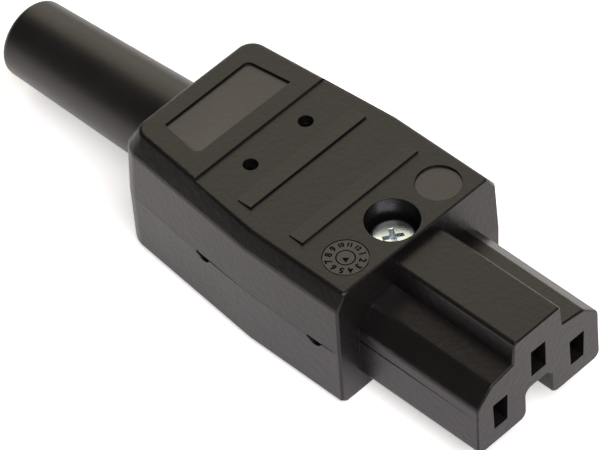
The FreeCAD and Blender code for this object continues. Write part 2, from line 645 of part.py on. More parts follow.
def make_spring(name):
    """A steel clip over the gripping stretch, closed on the side away from the other half of the nose."""
    pole = POLES[name]
    body = new_body(f"{name}_spring", "front_x + spring_middle", pole["y"], 0)
    web, tip = f"({pole['high']}) + spring_gap", pole["line"]
    back = f"({web}) + spring_strip"
    if name != "earth":
        web = f"({pole['low']}) - spring_gap"
        back = f"({web}) - spring_strip"
    profile = new_sketch(body, "YZ_Plane", "-spring_length / 2", f"{name}_spring_profile")
    outside = "spring_inner + spring_strip"
    draw_polygon(profile, [
        (outside, back), (outside, tip), ("spring_inner", tip), ("spring_inner", web),
        ("-(spring_inner)", web), ("-(spring_inner)", tip), (f"-({outside})", tip), (f"-({outside})", back)])
    extrude(body, "Pad", profile, "spring_length", f"{name}_clip")
    doc.recompute()
    heights = [vertex.Point.z for vertex in body.Tip.Shape.Vertexes]
    level = max(heights) if name == "earth" else min(heights)
    dress(body, "Fillet", f"{name}_spring_bends", "spring_strip / 2",
          lambda edge: lies_at(edge, "z", level) and reach(edge, "x") > SLACK)
    return body


def make_terminal(name, y, start, top):
    """A brass pillar with a wire hole along the housing and a thread from above."""
    body = new_body(f"{name}_terminal", f"front_x - {start} - block_length / 2", y, 0)
    box(body, "Additive", f"{name}_pillar", ("-block_length / 2", "block_length / 2"),
        ("-block_width / 2", "block_width / 2"), ("seat_height", top))
    dress(body, "Chamfer", f"{name}_pillar_edges", "block_edge", lambda edge: reach(edge, "z") > SLACK)
    rod(body, "Subtractive", f"{name}_wire_hole", "wire_hole",
        ("-block_length", 0, f"(seat_height + {top}) / 2"), "2 * block_length", "x")
    rod(body, "Subtractive", f"{name}_thread", "terminal_thread + 2 * thread_gap",
        (0, 0, f"(seat_height + {top} - wire_hole) / 2"), f"{top} - seat_height")
    return body


# Screws

def slotted_screw(label, x, y, z, sizes, upward):
    """A slotted screw with its head's seat at z, pointing down, or up for the clamp."""
    thread, head, height, reach = sizes
    shank = doc.addObject("Part::Cylinder", f"{label}_shank")
    bind(shank, Radius=f"{thread} / 2", Height=reach)
    cap = doc.addObject("Part::Cylinder", f"{label}_head")
    bind(cap, Radius=f"{head} / 2", Height=height)
    slot = doc.addObject("Part::Box", f"{label}_slot")
    bind(slot, Length=f"2 * {head}", Width="drive_slot", Height=f"2 * drive_depth")
    if upward:
        place(shank, x, y, z)
        place(cap, x, y, f"{z} - {height}")
        place(slot, f"{x} - {head}", f"{y} - drive_slot / 2", f"{z} - {height} - drive_depth")
    else:
        place(shank, x, y, f"{z} - {reach}")
        place(cap, x, y, z)
        place(slot, f"{x} - {head}", f"{y} - drive_slot / 2", f"{z} + {height} - drive_depth")
    whole = doc.addObject("Part::Fuse", f"{label}_blank")
    whole.Base = shank
    whole.Tool = cap
    screw = doc.addObject("Part::Cut", label)
    screw.Base = whole
    screw.Tool = slot
    return screw


def make_group(label, screws):
    group = doc.addObject("Part::Compound", label)
    group.Label = label
    group.Links = screws
    return group


def make_terminal_screws():
    sizes = ("terminal_thread", "terminal_head", "terminal_head_height", "terminal_screw_length")
    return make_group("terminal_screws", [
        slotted_screw("live_screw", "front_x - block_middle", "-terminal_y", "pole_top", sizes, False),
        slotted_screw("neutral_screw", "front_x - block_middle", "terminal_y", "pole_top", sizes, False),
        slotted_screw("earth_screw", "front_x - earth_middle", "0", "earth_tail + strip", sizes, False),
    ])


def make_clamp_screws():
    sizes = ("clamp_thread", "clamp_head", "clamp_head_height", "clamp_reach")
    x = "front_x - clamp_back"
    return make_group("cord_clamp_screws", [
        slotted_screw("near_clamp_screw", x, "-clamp_pitch / 2", "clamp_low", sizes, True),
        slotted_screw("far_clamp_screw", x, "clamp_pitch / 2", "clamp_low", sizes, True),
    ])


def make_cover_screw():
    body = new_body("cover_screw", "front_x - screw_back", 0, 0)
    profile = new_sketch(body, "XZ_Plane", 0, "cover_screw_profile")
    top = "head_seat + head_height"
    tip = "insert_top - screw_reach"
    draw_polygon(profile, [
        ("0", tip), ("screw_thread / 2 - screw_point", tip), ("screw_thread / 2", f"{tip} + screw_point"),
        ("screw_thread / 2", "head_seat"), ("head_width / 2", "head_seat"),
        ("head_width / 2", f"{top} - head_crown"), ("head_width / 2 - head_crown", top), ("0", top)])
    turned = body.newObject("PartDesign::Revolution", "cover_screw_blank")
    turned.Profile = profile
    turned.ReferenceAxis = (profile, ["V_Axis"])
    turned.Angle = 360
    deep = (f"{top} - cross_depth", f"{top} + cross_depth")
    arm = ("-cross_length / 2", "cross_length / 2")
    thick = ("-cross_width / 2", "cross_width / 2")
    box(body, "Subtractive", "cross_along", arm, thick, deep)
    box(body, "Subtractive", "cross_across", thick, arm, deep)
    return body


def make_insert():
    body = new_body("threaded_insert", "front_x - screw_back", 0, 0)
    rod(body, "Additive", "insert_barrel", "insert_width",
        (0, 0, "insert_top - insert_length"), "insert_length")
    rod(body, "Subtractive", "insert_thread", "screw_thread + 2 * thread_gap",
        (0, 0, "insert_top - 2 * insert_length"), "3 * insert_length")
    return body


# Cord clamp and sleeve

def make_clamp():
    body = new_body("cord_clamp", "front_x - clamp_back", 0, 0)
    box(body, "Additive", "clamp_bar", ("-clamp_bar_width / 2", "clamp_bar_width / 2"),
        ("-clamp_bar_length / 2", "clamp_bar_length / 2"), ("clamp_low", "clamp_top"))
    dress(body, "Fillet", "clamp_bar_ends", "clamp_round", lambda edge: reach(edge, "z") > SLACK)
    rod(body, "Subtractive", "clamp_bar_saddle", "cord_bore", ("-clamp_bar_width", 0, "seam_height"),
        "2 * clamp_bar_width", "x")
    for name, side in (("near", "-"), ("far", "")):
        rod(body, "Subtractive", f"{name}_bar_hole", "clamp_thread + 2 * clamp_hole_gap",
            (0, f"{side}clamp_pitch / 2", "clamp_low - clamp_bar_height"), "3 * clamp_bar_height")
    return body


def make_sleeve():
    """A turned rubber sleeve, drawn along x from the rear wall and tilted about that wall."""
    body = new_body("bend_sleeve", "front_x - rear_inner", 0, "sleeve_axis")
    body.Placement = FreeCAD.Placement(FreeCAD.Vector(), FreeCAD.Rotation(FreeCAD.Vector(0, 1, 0), 0))
    bind(body, Placement__Rotation__Angle="-sleeve_droop")
    place(body, "front_x - rear_inner", 0, "sleeve_axis")
    profile = new_sketch(body, "XZ_Plane", 0, "bend_sleeve_profile")
    end = "-(wall + sleeve_length)"
    turns = [QUARTER * i / TIP_FLATS for i in range(TIP_FLATS, -1, -1)]
    tip = [(f"{end} + sleeve_round * (1 - cos({turn}))", f"sleeve_tip / 2 - sleeve_round * (1 - sin({turn}))")
           for turn in turns]
    draw_polygon(profile, [
        ("collar_gap + collar_length", "cord_bore / 2"), ("collar_gap + collar_length", "collar_width / 2"),
        ("collar_gap", "collar_width / 2"), ("collar_gap", "sleeve_width / 2"), ("-wall", "sleeve_width / 2"),
        *tip, (end, "cord_bore / 2")])
    turned = body.newObject("PartDesign::Revolution", "bend_sleeve_blank")
    turned.Profile = profile
    turned.ReferenceAxis = (profile, ["H_Axis"])
    turned.Angle = 360
    return body


pieces = [
    make_base(),
    make_cover(),
    make_cover_screw(),
    make_insert(),
    make_pole_contact("live", "-"),
    make_pole_contact("neutral", ""),
    make_earth_contact(),
    make_spring("live"),
    make_spring("neutral"),
    make_spring("earth"),
    make_terminal("live", "-terminal_y", "terminal_start", "pole_tail"),
    make_terminal("neutral", "terminal_y", "terminal_start", "pole_tail"),
    make_terminal("earth", 0, "earth_start", "earth_tail"),
    make_terminal_screws(),
    make_clamp(),
    make_clamp_screws(),
    make_sleeve(),
]
doc.recompute()

failed = [item.Label for item in doc.Objects if "Invalid" in item.State or "Error" in item.State]
failed += [item.Label for item in pieces if item.Shape.isNull() or not item.Shape.isValid()]
if failed:
    raise SystemExit("these did not build: " + ", ".join(failed))

os.makedirs("parts", exist_ok=True)
for item in pieces:
    item.Shape.exportStep(f"parts/{item.Label}.step")
    print(item.Label, len(item.Shape.Solids), round(item.Shape.Volume, 2))
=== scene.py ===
import json
import math

import bpy
from mathutils import Euler, Matrix, Vector


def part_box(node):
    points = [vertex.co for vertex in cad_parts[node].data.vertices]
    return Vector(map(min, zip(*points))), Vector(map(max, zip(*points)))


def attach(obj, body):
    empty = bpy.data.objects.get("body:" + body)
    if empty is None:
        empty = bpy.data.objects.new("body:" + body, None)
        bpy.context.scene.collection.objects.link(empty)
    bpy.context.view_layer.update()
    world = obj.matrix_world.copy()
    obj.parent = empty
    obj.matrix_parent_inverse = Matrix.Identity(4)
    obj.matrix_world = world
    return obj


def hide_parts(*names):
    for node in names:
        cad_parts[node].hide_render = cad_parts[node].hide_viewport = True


for leftover in ("Cube", "Light", "Camera"):  # of the start-up scene
    if leftover in bpy.data.objects:
        bpy.data.objects.remove(bpy.data.objects[leftover])

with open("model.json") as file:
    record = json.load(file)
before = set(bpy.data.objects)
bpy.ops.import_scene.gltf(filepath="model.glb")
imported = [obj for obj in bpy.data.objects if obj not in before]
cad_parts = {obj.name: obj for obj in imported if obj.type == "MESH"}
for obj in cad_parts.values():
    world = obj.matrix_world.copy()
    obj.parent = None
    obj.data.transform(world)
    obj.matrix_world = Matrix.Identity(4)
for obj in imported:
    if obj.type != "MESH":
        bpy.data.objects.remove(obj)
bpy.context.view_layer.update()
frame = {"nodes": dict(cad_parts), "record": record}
nodes = frame["nodes"]
mm = 0.001  # sizes below are in millimetres times this
hair = 0.01 * mm  # places closer than this count as the same
facing = 0.9  # least share of a normal along an axis for a face to count as facing that way
nodeWeld = 0.0005 * mm  # merges doubled points in a copy of a node
pieceWeld = 0.001 * mm  # and in a new piece

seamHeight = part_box("base_shell")[1].z
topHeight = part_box("cover_shell")[1].z
screwMiddle = (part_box("cover_screw")[0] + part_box("cover_screw")[1]) / 2
print("frame loaded:", len(nodes), "nodes")


# Working helpers

def selectOnly(piece):
    bpy.ops.object.select_all(action="DESELECT")
    piece.select_set(True)
    bpy.context.view_layer.objects.active = piece


def editMode():
    bpy.ops.object.mode_set(mode="EDIT")


def objectMode():
    bpy.ops.object.mode_set(mode="OBJECT")


def editAll():
    editMode()
    bpy.ops.mesh.select_all(action="SELECT")


def pickFaces(piece, wanted):
    # leaves edit mode on with only the wanted faces selected
    editMode()
    bpy.ops.mesh.select_mode(type="FACE")
    bpy.ops.mesh.select_all(action="DESELECT")
    objectMode()
    for face in piece.data.polygons:
        face.select = wanted(face)
    editMode()


def pickCreases(piece, wanted):
    # the same for edges, judged by their ends and the normals of the faces they join
    editMode()
    bpy.ops.mesh.select_mode(type="EDGE")
    bpy.ops.mesh.select_all(action="DESELECT")
    objectMode()
    joined = {}
    for face in piece.data.polygons:
        for key in face.edge_keys:
            joined.setdefault(key, []).append(face.normal.copy())
    points = piece.data.vertices
    for edge in piece.data.edges:
        edge.select = wanted(edge, [points[end].co for end in edge.vertices], joined[edge.key])
    editMode()


def pickEdges(piece, wanted):
    pickCreases(piece, lambda edge, ends, normals: wanted(*ends))


def extrudeUp(distance):
    bpy.ops.mesh.extrude_region_move(TRANSFORM_OT_translate={"value": (0, 0, distance)})


def applyModifier(piece, name, kind, **settings):
    modifier = piece.modifiers.new(name, kind)
    for key, value in settings.items():
        setattr(modifier, key, value)
    bpy.ops.object.modifier_apply(modifier=modifier.name)


def combine(piece, name, operation, other):
    # unites the piece with the other object, or cuts it by it, and removes the other
    selectOnly(piece)
    applyModifier(piece, name, "BOOLEAN", operation=operation, object=other, solver="EXACT")
    bpy.data.objects.remove(other)


def shade(piece, angle):
    selectOnly(piece)
    bpy.ops.object.shade_smooth_by_angle(angle=math.radians(angle))
    applyModifier(piece, "evenShading", "WEIGHTED_NORMAL", keep_sharp=True)


def cutFaces(piece):
    # many-sided faces become triangles that keep the shading
    selectOnly(piece)
    applyModifier(piece, "cutFaces", "TRIANGULATE", min_vertices=5, quad_method="FIXED",
                  keep_custom_normals=True)


def settle(piece):
    # puts the object's place into its mesh
    selectOnly(piece)
    bpy.ops.object.transform_apply(location=True, rotation=True, scale=True)


def addFinish(piece, material):
    # gives the place of the finish in the piece's list
    piece.data.materials.append(material)
    return len(piece.data.materials) - 1


def dress(piece, material, body, slotName, *replaced):
    piece.data.materials.clear()
    addFinish(piece, material)
    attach(piece, body)
    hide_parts(*replaced)


# Shared surface effects

def newGroup(name, inputs, outputs):
    group = bpy.data.node_groups.new(name, "ShaderNodeTree")
    for label, kind, value in inputs:
        socket = group.interface.new_socket(name=label, in_out="INPUT", socket_type=kind)
        if value is not None:
            socket.default_value = value
    for label, kind in outputs:
        group.interface.new_socket(name=label, in_out="OUTPUT", socket_type=kind)
    entry = group.nodes.new("NodeGroupInput")
    leave = group.nodes.new("NodeGroupOutput")
    return group, entry.outputs, leave.inputs


def mathNode(tree, operation, first, second):
    node = tree.nodes.new("ShaderNodeMath")
    node.operation = operation
    for socket, value in zip(node.inputs, (first, second)):
        if isinstance(value, (int, float)):
            socket.default_value = value
        else:
            tree.links.new(value, socket)
    return node.outputs["Value"]


def noiseNode(tree, vector, scale, detail, roughness=0.5):
    node = tree.nodes.new("ShaderNodeTexNoise")
    tree.links.new(vector, node.inputs["Vector"])
    tree.links.new(scale, node.inputs["Scale"])
    node.inputs["Detail"].default_value = detail
    node.inputs["Roughness"].default_value = roughness
    return node.outputs["Fac"]


def rampNode(tree, value, low, high):
    node = tree.nodes.new("ShaderNodeMapRange")
    tree.links.new(value, node.inputs["Value"])
    node.inputs["From Min"].default_value = low
    node.inputs["From Max"].default_value = high
    return node.outputs["Result"]


grainMake = {
    "fineDetail": 3.0, "fineRoughness": 0.6, "softDetail": 2.0, "toneRange": (0.3, 0.7),
    "slowShare": 0.06, "coarseShare": 0.35,  # of the grain's own scale
}


def mouldGrainGroup():
    # fine spark-eroded grain of a mould wall, with slow waves under it and a coarser mottle in its relief
    group, given, out = newGroup(
        "mouldGrain",
        [("Vector", "NodeSocketVector", None), ("Scale", "NodeSocketFloat", 3000.0),
         ("Waviness", "NodeSocketFloat", 0.3), ("Mottle", "NodeSocketFloat", 0.0)],
        [("Height", "NodeSocketFloat"), ("Relief", "NodeSocketFloat"), ("Tone", "NodeSocketFloat")])
    fine = noiseNode(group, given["Vector"], given["Scale"],
                     grainMake["fineDetail"], grainMake["fineRoughness"])
    slowScale = mathNode(group, "MULTIPLY", given["Scale"], grainMake["slowShare"])
    slow = noiseNode(group, given["Vector"], slowScale, grainMake["softDetail"])
    waves = mathNode(group, "MULTIPLY", slow, given["Waviness"])
    height = mathNode(group, "ADD", fine, waves)
    group.links.new(height, out["Height"])
    coarseScale = mathNode(group, "MULTIPLY", given["Scale"], grainMake["coarseShare"])
    coarse = noiseNode(group, given["Vector"], coarseScale, grainMake["softDetail"])
    mottle = mathNode(group, "MULTIPLY", coarse, given["Mottle"])
    group.links.new(mathNode(group, "ADD", height, mottle), out["Relief"])
    group.links.new(rampNode(group, slow, *grainMake["toneRange"]), out["Tone"])
    return group


def dustSpecksGroup():
    # scattered pale specks, one in some of the cells
    group, given, out = newGroup(
        "dustSpecks",
        [("Vector", "NodeSocketVector", None), ("Scale", "NodeSocketFloat", 700.0),
         ("Share", "NodeSocketFloat", 0.2), ("Reach", "NodeSocketFloat", 0.06)],
        [("Mask", "NodeSocketFloat")])
    cells = group.nodes.new("ShaderNodeTexVoronoi")
    group.links.new(given["Vector"], cells.inputs["Vector"])
    group.links.new(given["Scale"], cells.inputs["Scale"])
    near = mathNode(group, "LESS_THAN", cells.outputs["Distance"], given["Reach"])
    split = group.nodes.new("ShaderNodeSeparateColor")
    group.links.new(cells.outputs["Color"], split.inputs["Color"])
    chosen = mathNode(group, "LESS_THAN", split.outputs["Red"], given["Share"])
    group.links.new(mathNode(group, "MULTIPLY", near, chosen), out["Mask"])
    return group


streakMake = {"stretch": (0.06, 1.0, 1.0), "detail": 4.0, "roughness": 0.65, "maskRange": (0.35, 0.7)}


def rubStreaksGroup():
    # fine rub marks drawn out along the piece
    group, given, out = newGroup(
        "rubStreaks",
        [("Vector", "NodeSocketVector", None), ("Scale", "NodeSocketFloat", 900.0)],
        [("Mask", "NodeSocketFloat")])
    stretch = group.nodes.new("ShaderNodeVectorMath")
    stretch.operation = "MULTIPLY"
    stretch.inputs[1].default_value = streakMake["stretch"]
    group.links.new(given["Vector"], stretch.inputs[0])
    streaks = noiseNode(group, stretch.outputs["Vector"], given["Scale"],
                        streakMake["detail"], streakMake["roughness"])
    group.links.new(rampNode(group, streaks, *streakMake["maskRange"]), out["Mask"])
    return group


mouldGrain = mouldGrainGroup()
dustSpecks = dustSpecksGroup()
rubStreaks = rubStreaksGroup()


def newMaterial(name):
    material = bpy.data.materials.new(name)
    material.use_nodes = True
    tree = material.node_tree
    shader = tree.nodes["Principled BSDF"]
    coords = tree.nodes.new("ShaderNodeTexCoord").outputs["Object"]
    return material, tree, shader, coords


def placeGroup(tree, group, coords, **values):
    node = tree.nodes.new("ShaderNodeGroup")
    node.node_tree = group
    tree.links.new(coords, node.inputs["Vector"])
    for label, value in values.items():
        node.inputs[label].default_value = value
    return node.outputs


def blendColour(tree, mask, first, second):
    node = tree.nodes.new("ShaderNodeMix")
    node.data_type = "RGBA"
    tree.links.new(mask, node.inputs["Factor"])
    for socket, colour in zip((node.inputs["A"], node.inputs["B"]), (first, second)):
        if isinstance(colour, tuple):
            socket.default_value = (*colour, 1.0)
        else:
            tree.links.new(colour, socket)
    return node.outputs["Result"]


def blendValue(tree, mask, low, high, socket):
    node = tree.nodes.new("ShaderNodeMapRange")
    tree.links.new(mask, node.inputs["Value"])
    node.inputs["To Min"].default_value = low
    node.inputs["To Max"].default_value = high
    tree.links.new(node.outputs["Result"], socket)


def bumpFrom(tree, height, strength, depth, shader):
    node = tree.nodes.new("ShaderNodeBump")
    node.inputs["Strength"].default_value = strength
    node.inputs["Distance"].default_value = depth
    tree.links.new(height, node.inputs["Height"])
    tree.links.new(node.outputs["Normal"], shader.inputs["Normal"])


def mouldedPlastic(name, look):
    material, tree, shader, coords = newMaterial(name)
    grain = placeGroup(tree, mouldGrain, coords, Scale=look["grain"], Waviness=look["waviness"],
                       Mottle=look["mottle"])
    specks = placeGroup(tree, dustSpecks, coords, Scale=look["speckScale"], Share=look["speckShare"])
    tone = blendColour(tree, grain["Tone"], look["dark"], look["light"])
    colour = blendColour(tree, specks["Mask"], tone, look["speck"])
    tree.links.new(colour, shader.inputs["Base Color"])
    blendValue(tree, grain["Height"], look["sheen"][0], look["sheen"][1], shader.inputs["Roughness"])
    shader.inputs["Specular IOR Level"].default_value = look["gloss"]
    shader.inputs["IOR"].default_value = plasticIor
    shader.inputs["Specular Tint"].default_value = (*plasticTint, 1.0)
    bumpFrom(tree, grain["Relief"], look["bump"], look["depth"], shader)
    return material


def platedMetal(name, look):
    material, tree, shader, coords = newMaterial(name)
    streaks = placeGroup(tree, rubStreaks, coords, Scale=look["streaks"])
    specks = placeGroup(tree, dustSpecks, coords, Scale=look["speckScale"], Share=look["speckShare"])
    tone = blendColour(tree, streaks["Mask"], look["dark"], look["light"])
    colour = blendColour(tree, specks["Mask"], tone, look["speck"])
    tree.links.new(colour, shader.inputs["Base Color"])
    shader.inputs["Metallic"].default_value = 1.0
    blendValue(tree, streaks["Mask"], look["sheen"][0], look["sheen"][1], shader.inputs["Roughness"])
    bumpFrom(tree, streaks["Mask"], look["bump"], look["depth"], shader)
    return material


plasticIor = 1.5
plasticTint = (1.0, 0.88, 0.93)  # black plastic mirrors a white table with a slight purple cast
housingLook = {
    "dark": (0.0037, 0.0032, 0.0031), "light": (0.0051, 0.0045, 0.0043), "speck": (0.045, 0.04, 0.036),
    "grain": 3600.0, "waviness": 0.35, "mottle": 3.6, "sheen": (0.27, 0.4), "gloss": 0.337, "bump": 0.35,
    "depth": 0.03 * mm, "speckScale": 900.0, "speckShare": 0.06,
}
dialLook = {
    "dark": (0.0045, 0.0039, 0.0037), "light": (0.006, 0.0053, 0.005), "speck": (0.045, 0.04, 0.036),
    "grain": 3600.0, "waviness": 0.35, "mottle": 2.6, "sheen": (0.25, 0.36), "gloss": 0.551, "bump": 0.3,
    "depth": 0.03 * mm, "speckScale": 900.0, "speckShare": 0.02,
}
# painted shade for the dial's engraved marks: a darker colour and almost no gloss stand in for the shade
# inside them
sunkShadeLook = {
    "dark": (0.0035, 0.003, 0.0028), "light": (0.005, 0.0044, 0.0041), "speck": (0.02, 0.018, 0.016),
    "grain": 5200.0, "waviness": 0.2, "mottle": 0.0, "sheen": (0.7, 0.9), "gloss": 0.06, "bump": 0.6,
    "depth": 0.04 * mm, "speckScale": 900.0, "speckShare": 0.0,
}
polishedLook = {
    "dark": (0.004, 0.004, 0.0038), "light": (0.006, 0.006, 0.0056), "speck": (0.03, 0.03, 0.03),
    "grain": 1500.0, "waviness": 0.6, "mottle": 0.0, "sheen": (0.2, 0.3), "gloss": 0.212, "bump": 0.12,
    "depth": 0.02 * mm, "speckScale": 500.0, "speckShare": 0.03,
}
rubberLook = {
    "dark": (0.0042, 0.0038, 0.0037), "light": (0.006, 0.0055, 0.0053), "speck": (0.04, 0.036, 0.034),
    "grain": 2600.0, "waviness": 0.8, "mottle": 2.5, "sheen": (0.28, 0.42), "gloss": 0.46, "bump": 0.25,
    "depth": 0.03 * mm, "speckScale": 700.0, "speckShare": 0.06,
}
clampLook = {
    "dark": (0.05, 0.049, 0.047), "light": (0.066, 0.064, 0.061), "speck": (0.16, 0.15, 0.14),
    "grain": 3600.0, "waviness": 0.3, "mottle": 1.0, "sheen": (0.45, 0.6), "gloss": 0.495, "bump": 0.3,
    "depth": 0.03 * mm, "speckScale": 420.0, "speckShare": 0.04,
}
zincLook = {
    "dark": (0.56, 0.6, 0.62), "light": (0.8, 0.85, 0.88), "speck": (0.46, 0.48, 0.48),
    "streaks": 700.0, "sheen": (0.34, 0.24), "bump": 0.04, "depth": 0.02 * mm,
    "speckScale": 900.0, "speckShare": 0.03,
}
brassLook = {
    "dark": (0.62, 0.43, 0.18), "light": (0.83, 0.62, 0.3), "speck": (0.4, 0.27, 0.12),
    "streaks": 1100.0, "sheen": (0.4, 0.24), "bump": 0.15, "depth": 0.02 * mm,
    "speckScale": 700.0, "speckShare": 0.1,
}
springLook = {
    "dark": (0.42, 0.42, 0.42), "light": (0.62, 0.62, 0.61), "speck": (0.25, 0.24, 0.23),
    "streaks": 1400.0, "sheen": (0.38, 0.25), "bump": 0.15, "depth": 0.02 * mm,
    "speckScale": 800.0, "speckShare": 0.08,
}

housingPlastic = mouldedPlastic("housingPlastic", housingLook)
dialPlastic = mouldedPlastic("dialPlastic", dialLook)
sunkShadePlastic = mouldedPlastic("sunkShadePlastic", sunkShadeLook)
polishedPlastic = mouldedPlastic("polishedPlastic", polishedLook)
sleeveRubber = mouldedPlastic("sleeveRubber", rubberLook)
clampPlastic = mouldedPlastic("clampPlastic", clampLook)
zincSteel = platedMetal("zincSteel", zincLook)
plainBrass = platedMetal("plainBrass", brassLook)
springSteel = platedMetal("springSteel", springLook)
print("finishes ready:", len(bpy.data.materials))


# Pieces refined from the frame: welded, with small edge rounds and even shading

flatAngle = 0.3  # faces of a copy that lie within these degrees of each other are joined
edgeSteps = 2
edgeRoom = 2.0  # least length of the edges beside a round, as a multiple of it
tightLength = 5.0 * mm  # longer edges have room even in a tight place
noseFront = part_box("base_shell")[1].x
# where edges lie too close for a round, as spans back from the nose, out to either side, and up
tightPlaces = [
    {"back": (1.9 * mm, 2.1 * mm), "out": (0.0, 10.0 * mm),
     "up": (9.0 * mm, 15.0 * mm)},  # pockets behind the slots
    {"back": (19.8 * mm, 20.2 * mm), "out": (0.0, 3.8 * mm),
     "up": (2.9 * mm, 3.3 * mm)},  # inner end of the key groove
    {"back": (40.9 * mm, 41.6 * mm), "out": (9.0 * mm, 10.7 * mm),
     "up": (topHeight - 0.4 * mm, topHeight + 0.1 * mm)},  # starts of the rear grip ridge
    {"back": (20.2 * mm, 20.6 * mm), "out": (12.0 * mm, 13.1 * mm),
     "up": (topHeight - 0.7 * mm, topHeight - 0.3 * mm)},  # front corners of the top
]


def copyNode(node, name):
    piece = bpy.data.objects.new(name, nodes[node].data.copy())
    bpy.context.collection.objects.link(piece)
    selectOnly(piece)
    editAll()
    bpy.ops.mesh.customdata_custom_splitnormals_clear()
    bpy.ops.mesh.remove_doubles(threshold=nodeWeld)
    bpy.ops.mesh.dissolve_limited(angle_limit=math.radians(flatAngle))
    objectMode()
    return piece


def keepInside(piece, node):
    # rounds that overshoot where edges crowd are brought back to the node's own box
    low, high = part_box(node)
    for point in piece.data.vertices:
        for axis in range(3):
            point.co[axis] = min(max(point.co[axis], low[axis]), high[axis])


def shortestAtPoints(piece):
    points = piece.data.vertices
    shortest = [math.inf] * len(points)
    for edge in piece.data.edges:
        length = (points[edge.vertices[0]].co - points[edge.vertices[1]].co).length
        for end in edge.vertices:
            shortest[end] = min(shortest[end], length)
    return shortest


def inTightPlace(ends):
    if (ends[0] - ends[1]).length > tightLength:
        return False
    spots = [{"back": noseFront - end.x, "out": abs(end.y), "up": end.z} for end in ends]
    return any(all(low <= spot[way] <= high for spot in spots for way, (low, high) in place.items())
               for place in tightPlaces)


def roundSharp(piece, node, edgeRound, sharpAngle=35, smoothAngle=32):
    # an edge beside a very short one, or in a tight place, has no room for a round and stays sharp
    selectOnly(piece)
    shortest = shortestAtPoints(piece)

    def wanted(edge, ends, normals):
        sharp = normals[0].angle(normals[1], 0) > math.radians(sharpAngle)
        onSeam = all(abs(end.z - seamHeight) < hair for end in ends)  # the rims meet edge to edge
        roomy = all(shortest[end] > edgeRoom * edgeRound for end in edge.vertices)
        return sharp and roomy and not onSeam and not inTightPlace(ends)

    pickCreases(piece, wanted)
    bpy.ops.mesh.bevel(offset=edgeRound, segments=edgeSteps, affect="EDGES", clamp_overlap=False)
    objectMode()
    keepInside(piece, node)
    shade(piece, smoothAngle)
    cutFaces(piece)


shellFinish = {
    "edge": 0.06 * mm, "sharpAngle": 30, "smoothAngle": 28, "slack": 0.05 * mm,
    "recessRadius": 3.6 * mm, "recessFloor": 14.0 * mm, "plateDepth": 0.35 * mm, "plateFront": -4.0 * mm,
    "discSink": 0.3 * mm, "rimLeast": 0.05 * mm, "rimReach": 0.2 * mm, "rimLeft": 0.06,
    "deckDrop": 0.35 * mm, "bevelDrop": 2.65 * mm,
    "slope": (0.3, 0.95), "flat": 0.99,  # upward share of the normals on the side bevels and on the top
    "frontRound": 0.7 * mm, "frontSteps": 5, "bevelRound": 0.4 * mm, "bevelSteps": 3,
    "ridgeRound": 0.16 * mm, "ridgeSteps": 3, "longEdge": 9.0 * mm,
    "rearField": 6.0 * mm, "frontField": 1.0 * mm,
    "rampLift": 0.16 * mm, "rampCut": 0.6 * mm,
    "rampLean": 0.05, "rampLevel": 0.98,  # least rearward and upward shares of a ramp's normal
    "cornerReach": 4.2 * mm, "cornerSide": 8.0 * mm, "cornerAngle": 5.0,
}


def drawInRim(piece):
    # the rim of the base leans in towards the wall of the cover, and a fine line is left between them
    cover = nodes["cover_shell"]
    for point in piece.data.vertices:
        if abs(point.co.z - seamHeight) > hair:
            continue
        found, near, _, _ = cover.closest_point_on_mesh(point.co)
        if found and shellFinish["rimLeast"] < (point.co - near).length < shellFinish["rimReach"]:
            point.co = near + (point.co - near) * shellFinish["rimLeft"]


def bluntRidges(piece):
    # the ramp of each grip ridge starts with a small step, so its ends show as blunt lines
    pickFaces(piece, lambda face: face.normal.x < -shellFinish["rampLean"]
              and face.normal.z > shellFinish["rampLevel"]
              and topHeight - shellFinish["deckDrop"] < face.center.z < topHeight)
    objectMode()
    ramps = [face for face in piece.data.polygons if face.select]
    rear = [min(piece.data.vertices[corner].co.x for corner in face.vertices) for face in ramps]
    for face, start in zip(ramps, rear):
        for corner in face.vertices:
            point = piece.data.vertices[corner].co
            if point.x < start + hair:
                point.x += shellFinish["rampCut"]
    editMode()
    extrudeUp(shellFinish["rampLift"])
    objectMode()
    for point in piece.data.vertices:
        point.co.z = min(point.co.z, topHeight)
    editAll()
    bpy.ops.mesh.remove_doubles(threshold=nodeWeld)
    bpy.ops.mesh.dissolve_degenerate(threshold=nodeWeld)
    objectMode()


def onSlope(normal):
    return shellFinish["slope"][0] < normal.z < shellFinish["slope"][1]


def simplifyCorners(piece):
    # fewer and larger faces on the bevel's two rear corners, so that its borders can be rounded
    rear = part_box("base_shell")[0].x
    foot = topHeight - shellFinish["bevelDrop"]
    pickFaces(piece, lambda face: onSlope(face.normal) and foot < face.center.z < topHeight
              and face.center.x < rear + shellFinish["cornerReach"]
              and abs(face.center.y) > shellFinish["cornerSide"])
    bpy.ops.mesh.dissolve_limited(angle_limit=math.radians(shellFinish["cornerAngle"]),
                                  use_dissolve_boundaries=False)
    objectMode()


